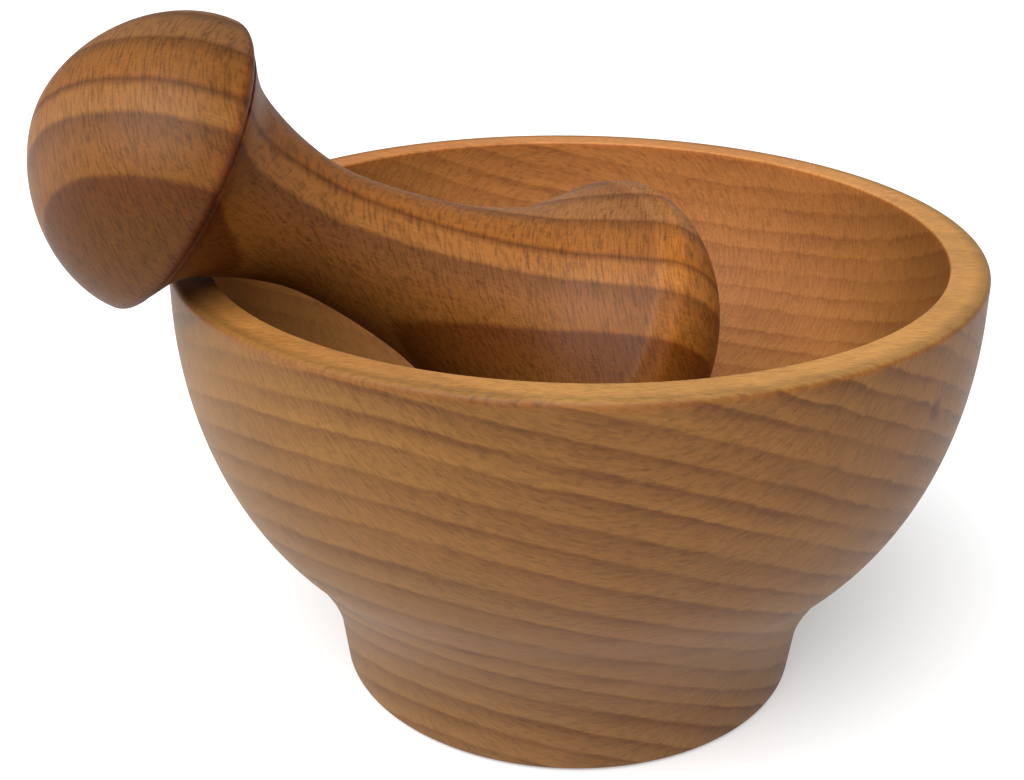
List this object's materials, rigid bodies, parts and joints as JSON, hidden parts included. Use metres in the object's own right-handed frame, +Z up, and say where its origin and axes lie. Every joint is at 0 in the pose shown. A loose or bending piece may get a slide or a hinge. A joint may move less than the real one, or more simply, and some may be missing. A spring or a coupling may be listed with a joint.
{
  "type": "wooden nut mortar and pounder",
  "caption": "Turned beech mortar bowl on a foot with a loose knobbed pounder leaning in it, for cracking and crushing nuts by hand.",
  "frame": {"origin": "centre of the foot's underside, on the bowl's turning axis", "axes": "+Z up along the bowl's axis; the pounder's knob leans out over the rim towards -X and a little towards -Y"},
  "size_m": [0.1551, 0.14, 0.1243],
  "materials": {
    "bowl_wood": "oiled steamed beech, satin",
    "pounder_wood": "oiled steamed beech, satin, darker than the bowl"
  },
  "bodies": {
    "bowl": {"mortar_bowl": "bowl_wood"},
    "pounder": {"pounder": "pounder_wood"}
  },
  "joints": [
    {"name": "pounder_lift", "type": "slide", "parent": "bowl", "child": "pounder", "axis": [0, 0, 1], "range_m": [0, 0.08]}
  ]
}
